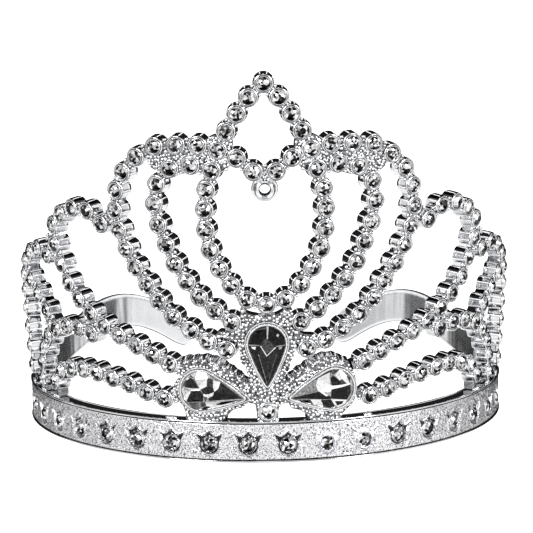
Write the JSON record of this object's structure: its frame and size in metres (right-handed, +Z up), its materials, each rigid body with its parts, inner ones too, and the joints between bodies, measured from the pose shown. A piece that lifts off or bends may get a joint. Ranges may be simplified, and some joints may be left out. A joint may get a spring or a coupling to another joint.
{
  "type": "bridal tiara",
  "caption": "Open-backed silver tiara: stone-set frosted band, openwork wall of stone-cup strands in a heart and petals under a peak, pear stones, smooth rear arms.",
  "frame": {"origin": "centre of the bounding box, on the plane that the band stands on", "axes": "+Z up, -Y towards the front of the tiara, +X to the right as seen from the front; the object is symmetric about X = 0"},
  "size_m": [0.1472, 0.147, 0.1088],
  "materials": {
    "frosted_silver": "frosted, pebbled",
    "polished_silver": "polished",
    "mirror_silver": "mirror polished",
    "crystal": "clear faceted stone on a silvered back"
  },
  "bodies": {
    "root": {"band_stone_left_1": "crystal", "band_stone_left_2": "crystal", "band_stone_left_3": "crystal", "band_stone_left_4": "crystal", "band_stone_left_5": "crystal", "band_stone_left_6": "crystal", "band_stone_left_7": "crystal", "band_stone_left_8": "crystal", "band_stone_left_9": "crystal", "band_stone_right_1": "crystal", "band_stone_right_2": "crystal", "band_stone_right_3": "crystal", "band_stone_right_4": "crystal", "band_stone_right_5": "crystal", "band_stone_right_6": "crystal", "band_stone_right_7": "crystal", "band_stone_right_8": "crystal", "band_stone_right_9": "crystal", "cross_strand_left": "polished_silver", "cross_strand_right": "polished_silver", "eyelet": "polished_silver", "head_band": "frosted_silver", "heart_strand": "polished_silver", "inner_petal_left": "polished_silver", "inner_petal_right": "polished_silver", "lower_strand_left": "polished_silver", "lower_strand_right": "polished_silver", "outer_petal_left": "polished_silver", "outer_petal_right": "polished_silver", "peak_strand": "polished_silver", "pear_setting_centre": "polished_silver", "pear_setting_left": "polished_silver", "pear_setting_right": "polished_silver", "pear_stone_centre": "crystal", "pear_stone_left": "crystal", "pear_stone_right": "crystal", "pebbled_web_left": "polished_silver", "pebbled_web_right": "polished_silver", "rear_arm_left": "mirror_silver", "rear_arm_right": "mirror_silver", "rear_petal_left": "polished_silver", "rear_petal_right": "polished_silver", "return_strand_left": "polished_silver", "return_strand_right": "polished_silver", "round_setting": "polished_silver", "round_stone": "crystal", "side_petal_left": "polished_silver", "side_petal_right": "polished_silver"}
  },
  "joints": []
}
